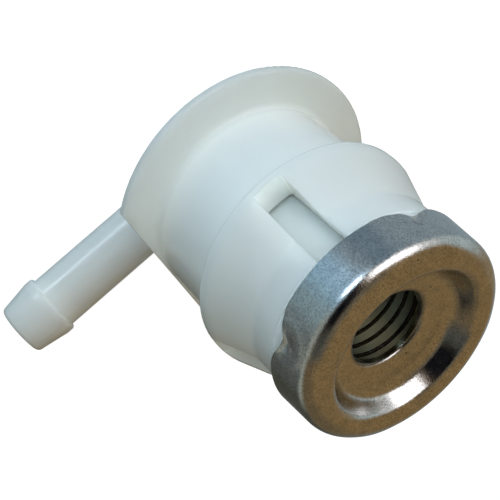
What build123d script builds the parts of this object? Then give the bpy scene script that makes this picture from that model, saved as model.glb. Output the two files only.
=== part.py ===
from build123d import *
import math
import os

os.makedirs("parts", exist_ok=True)

# Right-angle tank-outlet fuel filter. +Z is the body axis with the crimped cap uppermost, +X is the
# hose barb. The origin is on the body axis in the plane where the flange seats on the tank.

# ---- housing: grommet neck, which the sizes across are built on ---------------------------------
neck_d = 22.4            # stands in the grommet
neck_h = 10.7            # between the flange and the collar
neck_wall = 1.4
neck_root_r = 0.5

# ---- housing: flange ----------------------------------------------------------------------------
flange_w = 4.1           # how far it stands out from the neck
flange_t = 1.2           # it seats on the outside of the tank
flange_edge_r = 0.4
flat_gap = 0.2           # from the neck to the flat on the barb's side

# ---- housing: retaining collar, its lead-in taper and the rim for the cap ------------------------
collar_w = 1.6           # how far it stands out from the neck
collar_land = 1.5
collar_edge_r = 0.5
land_edge_r = 3.0
taper_h = 5.2
rim_edge_r = 1.8
rim_h = 3.2              # straight length between the taper and the cap
cap_step_w = 0.22        # the rim steps in here to let the skirt on
cap_seat_h = 4.6         # length that the cap covers
rim_wall = 0.85
top_edge_r = 0.85

# ---- housing: floor, seat bead and outlet port ---------------------------------------------------
floor_z = 0.6            # top of the housing's floor
floor_edge_r = 0.8
seat_mid_d = 11.8        # bead that the seal closes on
seat_w = 1.0
seat_crown_r = 0.3
seat_h = 1.2
port_d = 5.0

# ---- housing: collar windows -------------------------------------------------------------------
window_count = 4
window_w = 3.3
window_sill = 1.1        # above the collar's underside
window_overlap = 2.2     # above the cap's step, under the skirt
window_corner_r = 0.3

# ---- housing: elbow and hose barb ---------------------------------------------------------------
barb_z = -8.1            # height of the barb's axis
barb_tip_x = 28.05
tube_d = 6.3
ridge_h = 0.425
ridge_back = 4.75        # ridge's step, measured back from the tip
ridge_land = 1.0
ridge_edge_r = 0.28
ridge_root_r = 0.12
ridge_front_r = 1.0
tip_taper = 0.175        # how much less than the tube the tip's radius is
tip_r = 0.55
barb_bore_d = 3.6
mouth_chamfer = 0.3
head_wall = 2.0          # round the port
head_drop = 0.65         # from the tube's underside to the boss's end
head_dome_r = 3.6
head_root_r = 1.0
barb_root_r = 0.8

# ---- end cap ------------------------------------------------------------------------------------
sheet_t = 0.4
skirt_gap = 0.6          # from the rim's step to the open edge
skirt_play = 0.05        # round the housing's seat, at the face
skirt_flare = 0.32       # how much wider the radius is at the open edge
face_gap = 1.3           # from the housing's end to the inside of the face
cap_corner_r = 2.15
face_w = 2.65            # ring between the skirt and the recessed centre
dish_draft = 0.2
dish_depth = 3.05
dish_lip_r = 0.6
dish_root_r = 1.0
inlet_d = 8.1            # hole through the drawn collar
inlet_depth = 1.0
inlet_bend_r = 0.75
crimp_count = 4
crimp_start_deg = 48     # turned as the press left them, clear of the windows
crimp_rise = 1.4         # from the open edge to the middle of the crimps that lock the cap
crimp_r = 2.8
crimp_depth = 0.42       # how far a crimp is pressed into the skirt
crimp_gap = 0.05
dip_w = 6.8              # wave in the skirt's edge below each crimp
dip_h = 0.8

# ---- strainer (slides in the bore) ---------------------------------------------------------------
guide_gap = 0.3
lift = 2.0               # how far it can lift
lift_gap = 0.25          # what is left above it when it is lifted
strainer_wall = 0.8
strainer_floor_t = 1.2
strainer_mouth_d = 7.8   # opening in the floor
strainer_foot_r = 0.6
strainer_rim_r = 0.3
strainer_inner_rim_r = 0.2
strainer_floor_r = 1.0
strainer_mouth_r = 0.3
mesh_d = 12.4
mesh_t = 0.3
mesh_pitch = 0.9
mesh_strand = 0.3
mesh_count = 9
ring_h = 1.4
ring_wall = 0.9          # outside the seal
ring_gap = 0.05
seal_w = 1.6
seal_stand = 0.4         # how far the seal stands below the ring
seal_groove_h = 0.5
seal_gap = 0.05
seal_edge_r = 0.15

# ---- spring ---------------------------------------------------------------------------------------
spring_play = 0.15       # round the drawn collar that centres it
wire_d = 0.4
spring_pitch = 1.39
end_pitch = 0.44
spring_start_deg = 224    # where the lowest coil's end lies

# ---- sizes that follow ------------------------------------------------------------------------------
flange_d = neck_d + 2 * flange_w
flat_x = neck_d / 2 + flat_gap
collar_d = neck_d + 2 * collar_w
bore_r = neck_d / 2 - neck_wall
cap_seat_d = 2 * (bore_r + rim_wall)
rim_d = cap_seat_d + 2 * cap_step_w
taper_end_z = neck_h + collar_land + taper_h
cap_step_z = taper_end_z + rim_h
housing_top_z = cap_step_z + cap_seat_h
seat_z = floor_z + seat_h
window_low_z = neck_h + window_sill
window_high_z = cap_step_z + window_overlap
ridge_d = tube_d + 2 * ridge_h
tip_d = tube_d - 2 * tip_taper
head_d = port_d + 2 * head_wall
head_end_z = barb_z - tube_d / 2 - head_drop

skirt_top_d = cap_seat_d + 2 * (skirt_play + sheet_t)
skirt_edge_d = skirt_top_d + 2 * skirt_flare
skirt_edge_z = cap_step_z + skirt_gap
cap_face_z = housing_top_z + face_gap + sheet_t
dish_top_d = skirt_top_d - 2 * face_w
dish_low_d = dish_top_d - 2 * dish_draft
dish_z = cap_face_z - dish_depth
inlet_low_z = dish_z - inlet_depth
dish_tilt = math.atan2(dish_draft, dish_depth)
dish_shift = sheet_t / math.cos(dish_tilt)
skirt_slope = skirt_flare / (cap_face_z - skirt_edge_z)
crimp_z = skirt_edge_z + crimp_rise
crimp_centre_r = skirt_top_d / 2 + skirt_slope * (cap_face_z - crimp_z) + crimp_r - crimp_depth

strainer_r = bore_r - guide_gap
strainer_top_z = dish_z - sheet_t - lift - lift_gap
strainer_low_z = seat_z + seal_stand
strainer_floor_low_z = strainer_low_z + ring_h
strainer_floor_z = strainer_floor_low_z + strainer_floor_t
ring_seat_d = seat_mid_d + seal_w + 2 * ring_wall
ring_bore_d = strainer_mouth_d
spring_mean_d = inlet_d + 2 * (sheet_t + spring_play) + wire_d


def corner(sketch, r, z):
    """The sketch's vertex nearest a radius and a height."""
    return sketch.vertices().sort_by_distance(Vector(r, z, 0))[0]


# The housing is one moulding. The round body is turned first, then the elbow is joined to it.
with BuildPart() as housing:
    with BuildSketch(Plane.XZ) as body_section:
        with BuildLine():
            Polyline(
                (0, -flange_t),
                (flange_d / 2, -flange_t),
                (flange_d / 2, 0),
                (neck_d / 2, 0),
                (neck_d / 2, neck_h),
                (collar_d / 2, neck_h),
                (collar_d / 2, neck_h + collar_land),
                (rim_d / 2, taper_end_z),
                (rim_d / 2, cap_step_z),
                (cap_seat_d / 2, cap_step_z),
                (cap_seat_d / 2, housing_top_z),
                (0, housing_top_z),
                close=True,
            )
        make_face()
        fillet(corner(body_section, flange_d / 2, -flange_t), flange_edge_r)
        fillet(corner(body_section, flange_d / 2, 0), flange_edge_r)
        fillet(corner(body_section, neck_d / 2, 0), neck_root_r)
        fillet(corner(body_section, neck_d / 2, neck_h), neck_root_r)
        fillet(corner(body_section, collar_d / 2, neck_h), collar_edge_r)
        fillet(corner(body_section, collar_d / 2, neck_h + collar_land), land_edge_r)
        fillet(corner(body_section, rim_d / 2, taper_end_z), rim_edge_r)
        fillet(corner(body_section, cap_seat_d / 2, housing_top_z), top_edge_r)
    revolve(axis=Axis.Z)

    # The flat is cut before the elbow is joined, so that it trims nothing but the flange and the
    # foot of the neck's root.
    with BuildSketch(Plane.XY.offset(-flange_t)):
        with Locations((flat_x, 0)):
            Rectangle(flange_d, flange_d, align=(Align.MIN, Align.CENTER))
    extrude(amount=flange_t + neck_root_r, mode=Mode.SUBTRACT)

    # Elbow: a domed boss below the flange, and the barb turned about its own axis.
    with BuildSketch(Plane.XZ) as head_section:
        with BuildLine():
            Polyline(
                (0, head_end_z),
                (head_d / 2, head_end_z),
                (head_d / 2, -flange_t / 2),
                (0, -flange_t / 2),
                close=True,
            )
        make_face()
        fillet(corner(head_section, head_d / 2, head_end_z), head_dome_r)
    revolve(axis=Axis.Z)
    with BuildSketch(Plane.XZ) as barb_section:
        with BuildLine():
            Polyline(
                (0, barb_z),
                (0, barb_z + tube_d / 2),
                (barb_tip_x - ridge_back, barb_z + tube_d / 2),
                (barb_tip_x - ridge_back, barb_z + ridge_d / 2),
                (barb_tip_x - ridge_back + ridge_land, barb_z + ridge_d / 2),
                (barb_tip_x, barb_z + tip_d / 2),
                (barb_tip_x, barb_z),
                close=True,
            )
        make_face()
        fillet(corner(barb_section, barb_tip_x, barb_z + tip_d / 2), tip_r)
        fillet(corner(barb_section, barb_tip_x - ridge_back, barb_z + tube_d / 2), ridge_root_r)
        fillet(corner(barb_section, barb_tip_x - ridge_back, barb_z + ridge_d / 2), ridge_edge_r)
        fillet(corner(barb_section, barb_tip_x - ridge_back + ridge_land, barb_z + ridge_d / 2), ridge_front_r)
    revolve(axis=Axis((0, 0, barb_z), (1, 0, 0)))

    root = housing.edges().filter_by(GeomType.CIRCLE)
    root = [e for e in root if abs(e.radius - head_d / 2) < 0.01 and abs(e.center().Z + flange_t) < 0.01]
    fillet(root, head_root_r)
    crotch = [
        e
        for e in housing.edges()
        if 0 < e.center().X < head_d / 2 + 0.5 and abs(e.center().Z - barb_z) < tube_d / 2
        if e.geom_type not in (GeomType.CIRCLE, GeomType.LINE)
    ]
    fillet(crotch, barb_root_r)

    # Inside: the strainer's bore with its rounded floor corner, then the seat bead on the floor.
    with BuildSketch(Plane.XZ) as bore_section:
        with BuildLine():
            Polyline(
                (0, floor_z),
                (bore_r, floor_z),
                (bore_r, housing_top_z + 1),
                (0, housing_top_z + 1),
                close=True,
            )
        make_face()
        fillet(corner(bore_section, bore_r, floor_z), floor_edge_r)
    revolve(axis=Axis.Z, mode=Mode.SUBTRACT)
    with BuildSketch(Plane.XZ) as bead_section:
        with Locations((seat_mid_d / 2, seat_z)):
            Rectangle(seat_w, seat_z - floor_z + 0.2, align=(Align.CENTER, Align.MAX))
        fillet(bead_section.vertices().group_by(Axis.Y)[-1], seat_crown_r)
    revolve(axis=Axis.Z)

    # The way out: down the port and along the barb.
    with Locations((0, 0, floor_z + 0.5)):
        Cylinder(
            port_d / 2,
            floor_z + 0.5 - barb_z + barb_bore_d / 2,
            align=(Align.CENTER, Align.CENTER, Align.MAX),
            mode=Mode.SUBTRACT,
        )
    with Locations(Plane.YZ * Location((0, barb_z, 0))):
        Cylinder(
            barb_bore_d / 2,
            barb_tip_x + 1,
            align=(Align.CENTER, Align.CENTER, Align.MIN),
            mode=Mode.SUBTRACT,
        )
    mouth = [e for e in housing.edges().filter_by(GeomType.CIRCLE) if abs(e.radius - barb_bore_d / 2) < 0.01]
    chamfer(max(mouth, key=lambda e: e.center().X), mouth_chamfer)

    # Windows let the collar give as it is pushed through the grommet.
    for turn in range(window_count):
        angle = math.radians(turn * 360 / window_count)
        facing = Plane(
            origin=(0, 0, (window_low_z + window_high_z) / 2),
            x_dir=(-math.sin(angle), math.cos(angle), 0),
            z_dir=(math.cos(angle), math.sin(angle), 0),
        )
        with BuildSketch(facing.offset(bore_r - 1)):
            RectangleRounded(window_w, window_high_z - window_low_z, window_corner_r)
        extrude(amount=collar_d / 2 - bore_r + 2, mode=Mode.SUBTRACT)

    # Pockets that the cap's crimps are pressed into.
    with PolarLocations(crimp_centre_r, crimp_count, start_angle=crimp_start_deg):
        with Locations((0, 0, crimp_z)):
            Sphere(crimp_r + sheet_t + crimp_gap, mode=Mode.SUBTRACT)
housing.part.label = "housing"


# The end cap is pressed from one sheet: skirt, rounded rim, dished centre and a collar drawn inwards.
# Its crimps are round dents with the sheet carried inside them, so the balls behind them come first
# and are trimmed to the skirt's outside before the sheet is turned.
with BuildPart() as end_cap:
    with PolarLocations(crimp_centre_r, crimp_count, start_angle=crimp_start_deg):
        with Locations((0, 0, crimp_z)):
            Sphere(crimp_r + sheet_t)
    with BuildSketch(Plane.XZ):
        with BuildLine():
            Polyline(
                (skirt_edge_d / 2 - sheet_t / 2, skirt_edge_z - crimp_r),
                (skirt_edge_d / 2 - sheet_t / 2, skirt_edge_z),
                (skirt_top_d / 2 - sheet_t / 2, cap_face_z),
                (skirt_edge_d, cap_face_z),
                (skirt_edge_d, skirt_edge_z - crimp_r),
                close=True,
            )
        make_face()
    revolve(axis=Axis.Z, mode=Mode.SUBTRACT)
    with BuildSketch(Plane.XZ) as sheet:
        with BuildLine():
            Polyline(
                (skirt_edge_d / 2, skirt_edge_z),
                (skirt_top_d / 2, cap_face_z),
                (dish_top_d / 2, cap_face_z),
                (dish_low_d / 2, dish_z),
                (inlet_d / 2, dish_z),
                (inlet_d / 2, inlet_low_z),
                (inlet_d / 2 + sheet_t, inlet_low_z),
                (inlet_d / 2 + sheet_t, dish_z - sheet_t),
                (dish_low_d / 2 + dish_shift - sheet_t * math.tan(dish_tilt), dish_z - sheet_t),
                (dish_top_d / 2 + dish_shift - sheet_t * math.tan(dish_tilt), cap_face_z - sheet_t),
                (skirt_top_d / 2 + skirt_slope * sheet_t - sheet_t, cap_face_z - sheet_t),
                (skirt_edge_d / 2 - sheet_t, skirt_edge_z),
                close=True,
            )
        make_face()
        fillet(corner(sheet, skirt_top_d / 2, cap_face_z), cap_corner_r)
        fillet(corner(sheet, skirt_top_d / 2 - sheet_t, cap_face_z - sheet_t), cap_corner_r - sheet_t)
        fillet(corner(sheet, dish_top_d / 2, cap_face_z), dish_lip_r)
        fillet(corner(sheet, dish_top_d / 2 + sheet_t, cap_face_z - sheet_t), dish_lip_r - sheet_t)
        fillet(corner(sheet, dish_low_d / 2, dish_z), dish_root_r)
        fillet(corner(sheet, dish_low_d / 2 + sheet_t, dish_z - sheet_t), dish_root_r + sheet_t)
        fillet(corner(sheet, inlet_d / 2, dish_z), inlet_bend_r)
        fillet(corner(sheet, inlet_d / 2 + sheet_t, dish_z - sheet_t), inlet_bend_r - sheet_t)
    revolve(axis=Axis.Z)

    with PolarLocations(crimp_centre_r, crimp_count, start_angle=crimp_start_deg):
        with Locations((0, 0, crimp_z)):
            Sphere(crimp_r, mode=Mode.SUBTRACT)

    # Below each crimp the press has drawn the skirt's edge up into a shallow wave.
    for turn in range(crimp_count):
        angle = math.radians(crimp_start_deg + turn * 360 / crimp_count)
        facing = Plane(
            origin=(0, 0, skirt_edge_z),
            x_dir=(-math.sin(angle), math.cos(angle), 0),
            z_dir=(math.cos(angle), math.sin(angle), 0),
        )
        with BuildSketch(facing.offset(cap_seat_d / 4)) as dip:
            with BuildLine():
                Spline(
                    (-dip_w / 2, 0),
                    (0, dip_h),
                    (dip_w / 2, 0),
                    tangents=((1, 0), (1, 0)),
                )
                Line((dip_w / 2, 0), (dip_w / 2, -1))
                Line((dip_w / 2, -1), (-dip_w / 2, -1))
                Line((-dip_w / 2, -1), (-dip_w / 2, 0))
            make_face()
        extrude(amount=skirt_edge_d / 2, mode=Mode.SUBTRACT)
end_cap.part.label = "end_cap"


# The strainer is a cup that slides in the bore. The spring stands inside it on its floor.
with BuildPart() as strainer_cup:
    with BuildSketch(Plane.XZ) as cup_section:
        with BuildLine():
            Polyline(
                (strainer_mouth_d / 2, strainer_floor_low_z),
                (ring_seat_d / 2, strainer_floor_low_z),
                (ring_seat_d / 2, strainer_low_z),
                (strainer_r, strainer_low_z),
                (strainer_r, strainer_top_z),
                (strainer_r - strainer_wall, strainer_top_z),
                (strainer_r - strainer_wall, strainer_floor_z),
                (strainer_mouth_d / 2, strainer_floor_z),
                close=True,
            )
        make_face()
        fillet(corner(cup_section, strainer_r, strainer_low_z), strainer_foot_r)
        fillet(corner(cup_section, strainer_r, strainer_top_z), strainer_rim_r)
        fillet(corner(cup_section, strainer_r - strainer_wall, strainer_top_z), strainer_inner_rim_r)
        fillet(corner(cup_section, strainer_r - strainer_wall, strainer_floor_z), strainer_floor_r)
        fillet(corner(cup_section, strainer_mouth_d / 2, strainer_floor_z), strainer_mouth_r)
    revolve(axis=Axis.Z)
strainer_cup.part.label = "strainer_cup"


# The mesh: a round of crossed strands with a welded rim.
with BuildPart() as strainer_mesh:
    with BuildSketch(Plane.XY.offset(strainer_floor_low_z - mesh_t)):
        Circle(mesh_d / 2)
        with GridLocations(mesh_pitch, mesh_pitch, mesh_count, mesh_count) as openings:
            square = mesh_pitch - mesh_strand
            inside = [
                place
                for place in openings.locations
                if math.hypot(place.position.X, place.position.Y) + square * 0.7 < strainer_mouth_d / 2
            ]
        with Locations(*inside):
            Rectangle(square, square, mode=Mode.SUBTRACT)
    extrude(amount=mesh_t)
strainer_mesh.part.label = "strainer_mesh"


# The ring holds the mesh up against the cup's floor and carries the seal in a groove.
with BuildPart() as mesh_ring:
    with BuildSketch(Plane.XZ) as ring_section:
        with BuildLine():
            Polyline(
                (ring_bore_d / 2, strainer_low_z),
                (ring_seat_d / 2 - ring_gap, strainer_low_z),
                (ring_seat_d / 2 - ring_gap, strainer_floor_low_z),
                (mesh_d / 2 + ring_gap, strainer_floor_low_z),
                (mesh_d / 2 + ring_gap, strainer_floor_low_z - mesh_t),
                (ring_bore_d / 2, strainer_floor_low_z - mesh_t),
                close=True,
            )
        make_face()
        with Locations((seat_mid_d / 2, strainer_low_z)):
            Rectangle(seal_w + 2 * seal_gap, 2 * seal_groove_h, mode=Mode.SUBTRACT)
    revolve(axis=Axis.Z)
mesh_ring.part.label = "mesh_ring"


with BuildPart() as seat_seal:
    with BuildSketch(Plane.XZ) as seal_section:
        with Locations((seat_mid_d / 2, seat_z)):
            Rectangle(
                seal_w,
                seal_stand + seal_groove_h,
                align=(Align.CENTER, Align.MIN),
            )
        fillet(seal_section.vertices(), seal_edge_r)
    revolve(axis=Axis.Z)
seat_seal.part.label = "seat_seal"


# Compression spring of round wire: open coils between one closed coil at each end.
spring_low_z = strainer_floor_z
spring_high_z = dish_z - sheet_t
open_height = spring_high_z - spring_low_z - wire_d - 2 * end_pitch
with BuildPart() as spring:
    with BuildLine() as coil:
        height = spring_low_z + wire_d / 2
        turned = spring_start_deg
        for pitch, rise in ((end_pitch, end_pitch), (spring_pitch, open_height), (end_pitch, end_pitch)):
            turns = Helix(pitch=pitch, height=rise, radius=spring_mean_d / 2, mode=Mode.PRIVATE)
            add(Location((0, 0, height), (0, 0, turned)) * turns)
            height += rise
            turned += 360 * rise / pitch
    with BuildSketch(Plane(origin=coil.wire() @ 0, z_dir=coil.wire() % 0)):
        Circle(wire_d / 2)
    sweep(path=coil.wire(), is_frenet=True)
spring.part.label = "spring"


export_step(housing.part, "parts/housing.step")
export_step(end_cap.part, "parts/end_cap.step")
export_step(strainer_cup.part, "parts/strainer_cup.step")
export_step(strainer_mesh.part, "parts/strainer_mesh.step")
export_step(mesh_ring.part, "parts/mesh_ring.step")
export_step(seat_seal.part, "parts/seat_seal.step")
export_step(spring.part, "parts/spring.step")
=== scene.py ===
import bpy
import math
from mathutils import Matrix, Quaternion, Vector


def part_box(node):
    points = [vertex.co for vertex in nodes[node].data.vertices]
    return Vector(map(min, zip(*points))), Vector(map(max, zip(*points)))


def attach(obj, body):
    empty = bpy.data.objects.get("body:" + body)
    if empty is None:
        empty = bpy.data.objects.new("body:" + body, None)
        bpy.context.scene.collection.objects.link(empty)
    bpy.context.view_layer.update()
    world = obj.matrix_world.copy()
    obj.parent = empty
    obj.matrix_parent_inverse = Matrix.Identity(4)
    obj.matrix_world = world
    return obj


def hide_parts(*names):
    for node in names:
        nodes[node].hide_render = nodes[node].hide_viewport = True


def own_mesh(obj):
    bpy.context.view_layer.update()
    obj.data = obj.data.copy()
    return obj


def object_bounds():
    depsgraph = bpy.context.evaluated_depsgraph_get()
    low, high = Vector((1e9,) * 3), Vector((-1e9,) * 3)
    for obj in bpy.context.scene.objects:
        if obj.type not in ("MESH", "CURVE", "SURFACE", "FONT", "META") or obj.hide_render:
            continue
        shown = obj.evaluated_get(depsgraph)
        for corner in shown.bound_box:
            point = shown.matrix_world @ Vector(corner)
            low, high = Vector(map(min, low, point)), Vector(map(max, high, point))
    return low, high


# Lengths are in metres.
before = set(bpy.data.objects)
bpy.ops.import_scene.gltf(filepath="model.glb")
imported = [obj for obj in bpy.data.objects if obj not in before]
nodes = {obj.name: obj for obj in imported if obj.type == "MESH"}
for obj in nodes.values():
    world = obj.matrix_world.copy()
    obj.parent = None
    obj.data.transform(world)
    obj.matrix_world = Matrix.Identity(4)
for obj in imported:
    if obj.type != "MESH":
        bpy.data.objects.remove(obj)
cad_low, cad_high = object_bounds()

# ---- camera at the photograph's viewing angle ----------------------------------------------------
LENS_MM = 72.0
SENSOR_W_MM = 36.0
NEAREST_SEEN = 0.005
FARTHEST_SEEN = 5.0
CAMERA_PLACE = (0.0127915, -0.0778668, 0.0733193)
CAMERA_TURN = (0.3041719, 0.18277751, -0.3723007, 0.85759199)

camera_data = bpy.data.cameras.new("camera")
camera_data.lens = LENS_MM
camera_data.sensor_width = SENSOR_W_MM
camera_data.sensor_fit = "HORIZONTAL"
camera_data.clip_start = NEAREST_SEEN
camera_data.clip_end = FARTHEST_SEEN
camera = bpy.data.objects.new("camera", camera_data)
camera.rotation_mode = "QUATERNION"
camera.rotation_quaternion = Quaternion(CAMERA_TURN)
camera.location = CAMERA_PLACE
bpy.context.scene.collection.objects.link(camera)
bpy.context.scene.camera = camera


# ---- material helpers -------------------------------------------------------------------------------
def material(name):
    made = bpy.data.materials.new(name)
    made.use_nodes = True
    tree = made.node_tree
    shader = tree.nodes["Principled BSDF"]
    return made, tree, shader


def node(tree, kind, **values):
    """A new node. Values named in_X_Y set its input "X Y", and the others set its properties."""
    made = tree.nodes.new(kind)
    for key, value in values.items():
        if key.startswith("in_"):
            made.inputs[key[3:].replace("_", " ")].default_value = value
        else:
            setattr(made, key, value)
    return made


def noise(tree, coords, scale, detail, roughness=0.5, distortion=0.0):
    made = node(tree, "ShaderNodeTexNoise", in_Scale=scale, in_Detail=detail, in_Roughness=roughness,
                in_Distortion=distortion)
    tree.links.new(coords, made.inputs["Vector"])
    return made.outputs["Fac"]


def ramp(tree, factor, stops):
    """Colour by factor: stops of (place from 0 to 1, colour)."""
    made = tree.nodes.new("ShaderNodeValToRGB")
    elements = made.color_ramp.elements
    while len(elements) < len(stops):
        elements.new(0.5)
    for element, (place, colour) in zip(elements, stops):
        element.position = place
        element.color = (*colour, 1.0)
    tree.links.new(factor, made.inputs["Fac"])
    return made.outputs["Color"]


def grey(value):
    return (value, value, value)


def bump(tree, height, strength, distance, normal=None):
    made = node(tree, "ShaderNodeBump", in_Strength=strength, in_Distance=distance)
    tree.links.new(height, made.inputs["Height"])
    if normal is not None:
        tree.links.new(normal, made.inputs["Normal"])
    return made.outputs["Normal"]


def multiply(tree, first, second):
    made = node(tree, "ShaderNodeMix", data_type="RGBA", blend_type="MULTIPLY")
    made.inputs["Factor"].default_value = 1.0
    tree.links.new(first, made.inputs["A"])
    tree.links.new(second, made.inputs["B"])
    return made.outputs["Result"]


def coordinates(tree):
    return tree.nodes.new("ShaderNodeTexCoord").outputs["Object"]


# ---- materials --------------------------------------------------------------------------------------
NYLON_IOR = 1.53
NYLON_SCATTER = (1.0, 0.95, 0.85)


def nylon(name, tint_low, tint_high, rough, depth):
    """Milky moulded nylon: depth is how far light spreads under its surface."""
    made, tree, shader = material(name)
    coords = coordinates(tree)
    flow = noise(tree, coords, scale=120.0, detail=5.0, roughness=0.55, distortion=0.6)
    colour = ramp(tree, flow, [(0.32, tint_low), (0.68, tint_high)])
    tree.links.new(colour, shader.inputs["Base Color"])
    fine = noise(tree, coords, scale=2600.0, detail=3.0, roughness=0.6)
    grain = ramp(tree, fine, [(0.3, grey(rough - 0.03)), (0.75, grey(rough + 0.05))])
    tree.links.new(grain, shader.inputs["Roughness"])
    waves = noise(tree, coords, scale=300.0, detail=2.0)
    wavy = bump(tree, waves, strength=0.20, distance=0.00008)
    grainy = bump(tree, fine, strength=0.15, distance=0.00001, normal=wavy)
    tree.links.new(grainy, shader.inputs["Normal"])
    shader.subsurface_method = "BURLEY"
    shader.inputs["IOR"].default_value = NYLON_IOR
    shader.inputs["Subsurface Weight"].default_value = 1.0
    shader.inputs["Subsurface Radius"].default_value = NYLON_SCATTER
    shader.inputs["Subsurface Scale"].default_value = depth
    return made


def painted_shade_by_height(made, stops):
    """Darken the colour of a material by height, as painted shade: stops of (height, share of the colour
    kept).
    """
    tree = made.node_tree
    shader = tree.nodes["Principled BSDF"]
    colour = shader.inputs["Base Color"].links[0].from_socket
    split = tree.nodes.new("ShaderNodeSeparateXYZ")
    tree.links.new(coordinates(tree), split.inputs[0])
    low, high = stops[0][0], stops[-1][0]
    place = node(tree, "ShaderNodeMapRange")
    tree.links.new(split.outputs["Z"], place.inputs["Value"])
    place.inputs["From Min"].default_value = low
    place.inputs["From Max"].default_value = high
    shares = [((z - low) / (high - low), grey(share)) for z, share in stops]
    kept = ramp(tree, place.outputs["Result"], shares)
    tree.links.new(multiply(tree, colour, kept), shader.inputs["Base Color"])
    return made


def painted_shade_inside(made, shade_colour, shade_edge_r, soft):
    """Paint shade into a material's colour inside a radius. The painted shade's edge is soft on both sides
    of that radius.
    """
    tree = made.node_tree
    shader = tree.nodes["Principled BSDF"]
    own_colour = shader.inputs["Base Color"].links[0].from_socket
    split = tree.nodes.new("ShaderNodeSeparateXYZ")
    tree.links.new(coordinates(tree), split.inputs[0])
    flat = tree.nodes.new("ShaderNodeCombineXYZ")
    tree.links.new(split.outputs["X"], flat.inputs["X"])
    tree.links.new(split.outputs["Y"], flat.inputs["Y"])
    radius = node(tree, "ShaderNodeVectorMath", operation="LENGTH")
    tree.links.new(flat.outputs[0], radius.inputs[0])
    inside = node(tree, "ShaderNodeMapRange")
    tree.links.new(radius.outputs["Value"], inside.inputs["Value"])
    inside.inputs["From Min"].default_value = shade_edge_r + soft
    inside.inputs["From Max"].default_value = shade_edge_r - soft
    mix = node(tree, "ShaderNodeMix", data_type="RGBA")
    tree.links.new(inside.outputs["Result"], mix.inputs["Factor"])
    tree.links.new(own_colour, mix.inputs["A"])
    mix.inputs["B"].default_value = (*shade_colour, 1.0)
    tree.links.new(mix.outputs["Result"], shader.inputs["Base Color"])
    return made


def zinc(name):
    """Bright zinc plate: cloudy spangle, fine grain and a few dark pits."""
    made, tree, shader = material(name)
    coords = coordinates(tree)
    spangle = noise(tree, coords, scale=900.0, detail=6.0, roughness=0.65)
    fine = noise(tree, coords, scale=5200.0, detail=3.0, roughness=0.7)
    blotches = ramp(tree, spangle, [(0.3, (0.58, 0.60, 0.62)), (0.7, (0.78, 0.79, 0.79))])
    grain = ramp(tree, fine, [(0.36, grey(0.66)), (0.56, grey(1.0))])
    pits = noise(tree, coords, scale=520.0, detail=3.0, roughness=0.6)
    dots = ramp(tree, pits, [(0.725, grey(1.0)), (0.74, grey(0.12))])
    grainy = multiply(tree, blotches, grain)
    tree.links.new(multiply(tree, grainy, dots), shader.inputs["Base Color"])
    shader.inputs["Metallic"].default_value = 1.0
    rough = ramp(tree, spangle, [(0.3, grey(0.12)), (0.72, grey(0.20))])
    tree.links.new(rough, shader.inputs["Roughness"])
    cloudy = bump(tree, spangle, strength=0.15, distance=0.00004)
    rippled = bump(tree, fine, strength=0.4, distance=0.00003, normal=cloudy)
    tree.links.new(rippled, shader.inputs["Normal"])
    return made


def wire(name, low, high, rough):
    made, tree, shader = material(name)
    coords = coordinates(tree)
    drawn = noise(tree, coords, scale=1800.0, detail=4.0, roughness=0.6)
    colour = ramp(tree, drawn, [(0.3, low), (0.7, high)])
    tree.links.new(colour, shader.inputs["Base Color"])
    worn = ramp(tree, drawn, [(0.3, grey(rough - 0.06)), (0.7, grey(rough + 0.08))])
    tree.links.new(worn, shader.inputs["Roughness"])
    tree.links.new(bump(tree, drawn, strength=0.2, distance=0.00002), shader.inputs["Normal"])
    shader.inputs["Metallic"].default_value = 1.0
    return made


def rubber(name):
    made, tree, shader = material(name)
    coords = coordinates(tree)
    dust = noise(tree, coords, scale=900.0, detail=5.0, roughness=0.6)
    colour = ramp(tree, dust, [(0.35, (0.012, 0.012, 0.013)), (0.75, (0.05, 0.05, 0.052))])
    tree.links.new(colour, shader.inputs["Base Color"])
    dull = ramp(tree, dust, [(0.3, grey(0.55)), (0.7, grey(0.75))])
    tree.links.new(dull, shader.inputs["Roughness"])
    tree.links.new(bump(tree, dust, strength=0.3, distance=0.00003), shader.inputs["Normal"])
    return made


# ---- what each CAD node is made of ------------------------------------------------------------------
# Painted shade: the housing keeps less of its colour at the flange and barb, and on the collar, so the
# neck stays lightest, as if lit through the nylon.
HOUSING_PAINTED_SHADE = ((-0.0005, 0.80), (0.0012, 0.98), (0.0090, 0.98), (0.0120, 0.91))
# Painted shade: the cup's inner wall, seen through the cap's inlet, gets a dark olive tan for the shade
# and brown reflections it lies in.
CUP_PAINTED_SHADE = (0.56, 0.55, 0.40)
CUP_SKIN = 0.0004
SHADE_SOFT = 0.0002

body_nylon = nylon("nylon_body", (0.90, 0.94, 0.93), (0.93, 0.965, 0.955), rough=0.13, depth=0.0042)
cup_nylon = nylon("nylon_cup", (0.84, 0.88, 0.83), (0.88, 0.91, 0.87), rough=0.30, depth=0.0040)
cup_outer_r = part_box("strainer_cup")[1].x
looks = {
    "housing": painted_shade_by_height(body_nylon, HOUSING_PAINTED_SHADE),
    "strainer_cup": painted_shade_inside(cup_nylon, CUP_PAINTED_SHADE, cup_outer_r - CUP_SKIN, SHADE_SOFT),
    "mesh_ring": nylon("nylon_ring", (0.90, 0.93, 0.88), (0.94, 0.96, 0.91), rough=0.30, depth=0.0030),
    "end_cap": zinc("zinc_plate"),
    # Painted shade: the spring's near-black colour stands for the shade and dark reflections of the coils
    # inside the cup.
    "spring": wire("spring_wire", (0.04, 0.04, 0.04), (0.09, 0.09, 0.085), rough=0.26),
    "strainer_mesh": wire("mesh_wire", (0.40, 0.40, 0.37), (0.60, 0.60, 0.56), rough=0.30),
    "seat_seal": rubber("rubber_seal"),
}
for cad_node, look in looks.items():
    materials = nodes[cad_node].data.materials
    materials.clear()
    materials.append(look)

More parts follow.
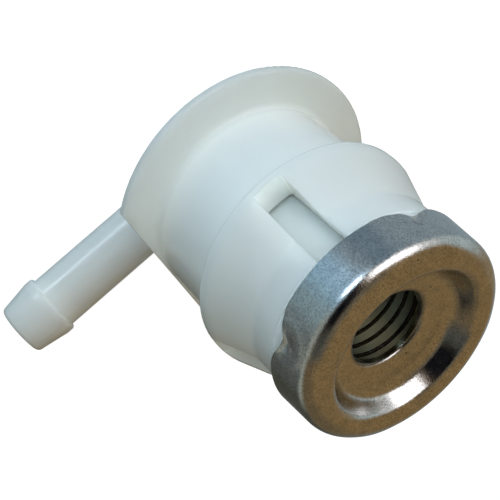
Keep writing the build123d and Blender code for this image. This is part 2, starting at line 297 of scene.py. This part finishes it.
# ---- end cap: the pressed sheet, with the soft bends and dents that the press leaves ----------------
SHEET_T = 0.0004
SKIRT_FLARE = 0.00032     # the skirt is wider at its open edge
CORNER_R = 0.0021
FACE_W = 0.0028           # ring between the skirt and the dish, with its bends
DISH_DRAFT = 0.00115      # how far the dish wall slopes inward
DISH_DEPTH = 0.00305
FLOOR_FALL = 0.00043      # the dish floor falls towards the hole
LIP_R = 0.0012
ROOT_R = 0.0015
INLET_R = 0.00405
INLET_DEPTH = 0.0010
INLET_BEND_R = 0.00075

# Crimps: round dents in the skirt, each with a faint swelling round it and a wave in the skirt's edge.
CRIMP_COUNT = 4
CRIMP_PITCH = 2 * math.pi / CRIMP_COUNT
CRIMP_START = math.radians(48.0)
CRIMP_RISE = 0.0014
CRIMP_DEPTH = 0.00042
CRIMP_REACH = 0.00092
SWELL_H = 0.00007
SWELL_AT = 1.9 * CRIMP_REACH
SWELL_W = 0.7 * CRIMP_REACH
DIP_W = 0.0068
DIP_H = 0.0008
DIP_FADE = 4 * CRIMP_RISE
SKIRT_WALL = 0.0012       # crimps move only what lies this near the open edge's radius

TURNS = 288
BEND_STEP = math.radians(6.0)
SKIRT_STEP = 0.0003
SHARP_FROM = math.radians(40.0)


def bent_sheet(corners):
    """Points with inward normals, along a line that bends at its corners (radius, height, bend radius)."""
    line = []

    def run(start, end):
        along = end - start
        steps = max(1, int(along.length / SKIRT_STEP))
        normal = Vector((-along.y, along.x)).normalized()
        for step in range(steps + 1):
            line.append((start + along * (step / steps), normal))

    last = Vector(corners[0][:2])
    for before, here, after in zip(corners, corners[1:], corners[2:]):
        point = Vector(here[:2])
        bend_r = here[2]
        come = (point - Vector(before[:2])).normalized()
        leave = (Vector(after[:2]) - point).normalized()
        turn = math.atan2(come.x * leave.y - come.y * leave.x, come.dot(leave))
        reach = bend_r * math.tan(abs(turn) / 2)
        run(last, point - come * reach)
        side = math.copysign(1.0, turn)
        bend_centre = point - come * reach + Vector((-come.y, come.x)) * side * bend_r
        away = Vector((come.y, -come.x)) * side
        steps = max(2, int(abs(turn) / BEND_STEP))
        for step in range(1, steps):
            angle = turn * step / steps
            spoke = Vector((away.x * math.cos(angle) - away.y * math.sin(angle),
                            away.x * math.sin(angle) + away.y * math.cos(angle)))
            line.append((bend_centre + spoke * bend_r, spoke * -side))
        last = point + leave * reach
    run(last, Vector(corners[-1][:2]))
    return line


def pressed(radius, height, angle, edge_z, skirt_r):
    """Where the crimps move a point of the turned sheet: its new radius and height."""
    if radius <= skirt_r - SKIRT_WALL:
        return radius, height
    nearest = round((angle - CRIMP_START) / CRIMP_PITCH) * CRIMP_PITCH + CRIMP_START
    across = (angle - nearest) * radius
    wave = max(0.0, math.cos(math.pi * min(abs(across), DIP_W / 2) / DIP_W)) ** 2
    fade = max(0.0, 1.0 - (height - edge_z) / DIP_FADE)
    height += DIP_H * wave * fade
    away = math.hypot(across, height - edge_z - CRIMP_RISE)
    radius -= CRIMP_DEPTH * math.exp(-((away / CRIMP_REACH) ** 2))
    radius += SWELL_H * math.exp(-(((away - SWELL_AT) / SWELL_W) ** 2))
    return radius, height


def pressed_cap(name):
    cap_low, cap_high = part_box("end_cap")
    edge_r, edge_z, face_z = cap_high.x, cap_low.z, cap_high.z
    top_r = edge_r - SKIRT_FLARE
    dish_r = top_r - FACE_W
    dish_z = face_z - DISH_DEPTH
    line = bent_sheet((
        (edge_r, edge_z, 0.0),
        (top_r, face_z, CORNER_R),
        (dish_r, face_z, LIP_R),
        (dish_r - DISH_DRAFT, dish_z + FLOOR_FALL, ROOT_R),
        (INLET_R, dish_z, INLET_BEND_R),
        (INLET_R, dish_z - INLET_DEPTH, 0.0),
    ))
    outer_side = [point for point, _ in line]
    inner_side = [point + inward * SHEET_T for point, inward in reversed(line)]
    section = outer_side + inner_side
    points, faces = [], []
    for turn in range(TURNS):
        angle = 2 * math.pi * turn / TURNS
        for radius, height in section:
            radius, height = pressed(radius, height, angle, edge_z, edge_r)
            points.append((radius * math.cos(angle), radius * math.sin(angle), height))
        here = turn * len(section)
        ahead = (turn + 1) % TURNS * len(section)
        for place in range(len(section)):
            beside = (place + 1) % len(section)
            faces.append((here + place, ahead + place, ahead + beside, here + beside))
    mesh = bpy.data.meshes.new(name)
    mesh.from_pydata(points, [], faces)
    mesh.shade_smooth()
    mesh.set_sharp_from_angle(angle=SHARP_FROM)
    mesh.materials.append(looks["end_cap"])
    piece = bpy.data.objects.new(name, mesh)
    bpy.context.scene.collection.objects.link(piece)
    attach(piece, "body")
    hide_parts("end_cap")


pressed_cap("pressed_cap")


def pressed_spring(name):
    piece = bpy.data.objects.new(name, nodes["spring"].data.copy())
    bpy.context.scene.collection.objects.link(piece)
    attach(piece, "body")
    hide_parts("spring")
    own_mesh(piece)


pressed_spring("coiled_spring")

# ---- stage: pale floor, left out of reflections and of bounced light --------------------------------
FLOOR_REACH = 3.0
FLOOR_GLOW = 0.92

floor_mesh = bpy.data.meshes.new("floor")
square = ((-1, -1), (1, -1), (1, 1), (-1, 1))
floor_corners = [(x * FLOOR_REACH, y * FLOOR_REACH, cad_low.z) for x, y in square]
floor_mesh.from_pydata(floor_corners, [], [(0, 1, 2, 3)])
floor = bpy.data.objects.new("floor", floor_mesh)
bpy.context.scene.collection.objects.link(floor)
floor_look, _, floor_shader = material("floor_white")
floor_shader.inputs["Base Color"].default_value = (0.5, 0.5, 0.5, 1.0)
floor_shader.inputs["Roughness"].default_value = 1.0
floor_shader.inputs["Specular IOR Level"].default_value = 0.0
floor_shader.inputs["Emission Color"].default_value = (1.0, 1.0, 1.0, 1.0)
floor_shader.inputs["Emission Strength"].default_value = FLOOR_GLOW
floor_mesh.materials.append(floor_look)
floor.visible_glossy = False
floor.visible_diffuse = False

# ---- surroundings that the metal reflects, by direction ---------------------------------------------
FROM_BELOW = (0.28, 0.345, 0.375, 1.0)
FROM_ABOVE = (0.255, 0.163, 0.069, 1.0)
HORIZON_LOW = math.radians(-14.0)
HORIZON_HIGH = math.radians(12.0)

world = bpy.data.worlds.new("studio")
world.use_nodes = True
bpy.context.scene.world = world
sky = world.node_tree
direction = sky.nodes.new("ShaderNodeTexCoord").outputs["Generated"]
split = sky.nodes.new("ShaderNodeSeparateXYZ")
sky.links.new(direction, split.inputs[0])


def reckon(operation, *values):
    """A maths node of the sky, fed by sockets or numbers."""
    made = node(sky, "ShaderNodeMath", operation=operation)
    for place, value in enumerate(values):
        if isinstance(value, (int, float)):
            made.inputs[place].default_value = value
        else:
            sky.links.new(value, made.inputs[place])
    return made.outputs[0]


azimuth = reckon("ARCTAN2", split.outputs["Y"], split.outputs["X"])
elevation = reckon("ARCSINE", split.outputs["Z"])


def window(coordinate, middle, half, soft):
    """1 inside middle +- half, falling softly to 0. In degrees."""
    away = reckon("SUBTRACT", coordinate, math.radians(middle))
    away = reckon("ABSOLUTE", reckon("WRAP", away, math.pi, -math.pi))
    made = node(sky, "ShaderNodeMapRange", interpolation_type="SMOOTHSTEP")
    sky.links.new(away, made.inputs["Value"])
    made.inputs["From Min"].default_value = math.radians(half + soft)
    made.inputs["From Max"].default_value = math.radians(half - soft)
    return made.outputs["Result"]


def patch(below, az, el, colour):
    """Paint a soft-edged patch over the colours below it: az and el are (middle, half, soft)."""
    factor = reckon("MULTIPLY", window(azimuth, *az), window(elevation, *el))
    mix = node(sky, "ShaderNodeMix", data_type="RGBA")
    sky.links.new(factor, mix.inputs["Factor"])
    sky.links.new(below, mix.inputs["A"])
    mix.inputs["B"].default_value = (*colour, 1.0)
    return mix.outputs["Result"]


rise = node(sky, "ShaderNodeMapRange", interpolation_type="SMOOTHSTEP")
sky.links.new(elevation, rise.inputs["Value"])
rise.inputs["From Min"].default_value = HORIZON_LOW
rise.inputs["From Max"].default_value = HORIZON_HIGH
backdrop = node(sky, "ShaderNodeMix", data_type="RGBA")
sky.links.new(rise.outputs["Result"], backdrop.inputs["Factor"])
backdrop.inputs["A"].default_value = FROM_BELOW
backdrop.inputs["B"].default_value = FROM_ABOVE
seen = backdrop.outputs["Result"]
for az, el, colour in (
    # below the horizon: pale and blue towards -y, dark towards +x
    ((-52, 20, 12), (-35, 32, 8), (0.28, 0.39, 0.42)),
    ((0, 34, 14), (-35, 32, 8), (0.13, 0.145, 0.14)),
    ((55, 30, 18), (-35, 32, 8), (0.07, 0.07, 0.055)),
    ((-80, 17, 10), (-38, 38, 8), (0.33, 0.52, 0.65)),
    ((-126, 14, 10), (-35, 32, 8), (0.18, 0.25, 0.30)),
    # round the horizon and above it: greys and browns
    ((-8, 46, 14), (-13, 9, 6), (0.36, 0.38, 0.32)),
    ((35, 50, 20), (10, 18, 7), (0.165, 0.118, 0.062)),
    ((128, 12, 8), (2, 20, 8), (0.28, 0.21, 0.12)),
    ((168, 26, 12), (2, 18, 7), (0.46, 0.53, 0.52)),
    ((-60, 64, 14), (46, 10, 8), (0.15, 0.125, 0.085)),
    ((-154, 20, 10), (10, 15, 5), (0.75, 0.74, 0.70)),
    ((-28, 18, 10), (22, 18, 7), (0.085, 0.085, 0.07)),
    # the black patch and the bright ones that show in the cap's bends
    ((-68, 28, 7), (21, 18, 5), (0.006, 0.006, 0.008)),
    ((-127, 23, 6), (14, 12, 4), (2.6, 2.5, 2.5)),
    ((-88, 13, 7), (-14, 9, 4), (0.95, 1.2, 1.5)),
    ((-86, 8, 4), (-10, 5, 3), (5.4, 6.6, 7.4)),
):
    seen = patch(seen, az, el, colour)
sky.links.new(seen, sky.nodes["Background"].inputs["Color"])
sky.nodes["Background"].inputs["Strength"].default_value = 1.0

# ---- soft studio light, which the metal doesn't reflect ---------------------------------------------
LIT_POINT = Vector((0.004, 0.0, 0.008))


def area(name, place, size, power, colour):
    """A square lamp that faces the lit point."""
    data = bpy.data.lights.new(name, "AREA")
    data.shape = "RECTANGLE"
    data.size = size
    data.size_y = size
    data.energy = power
    data.color = colour
    lamp = bpy.data.objects.new(name, data)
    lamp.location = place
    lamp.rotation_mode = "QUATERNION"
    lamp.rotation_quaternion = (LIT_POINT - Vector(place)).to_track_quat("-Z", "Y")
    lamp.visible_glossy = False
    bpy.context.scene.collection.objects.link(lamp)


area("key", (-0.14, -0.26, 0.26), size=0.30, power=0.142, colour=(0.69, 0.95, 1.12))
area("top", (0.05, 0.06, 0.40), size=0.35, power=0.070, colour=(0.82, 0.95, 0.99))
area("low", (0.0, -0.34, 0.05), size=0.30, power=0.245, colour=(0.65, 0.94, 1.12))
area("left", (0.35, -0.05, 0.08), size=0.25, power=0.015, colour=(0.85, 0.95, 0.99))
area("front", (0.039, -0.306, 0.263), size=0.10, power=0.200, colour=(0.72, 0.94, 1.04))
bpy.context.scene.view_settings.view_transform = "Standard"
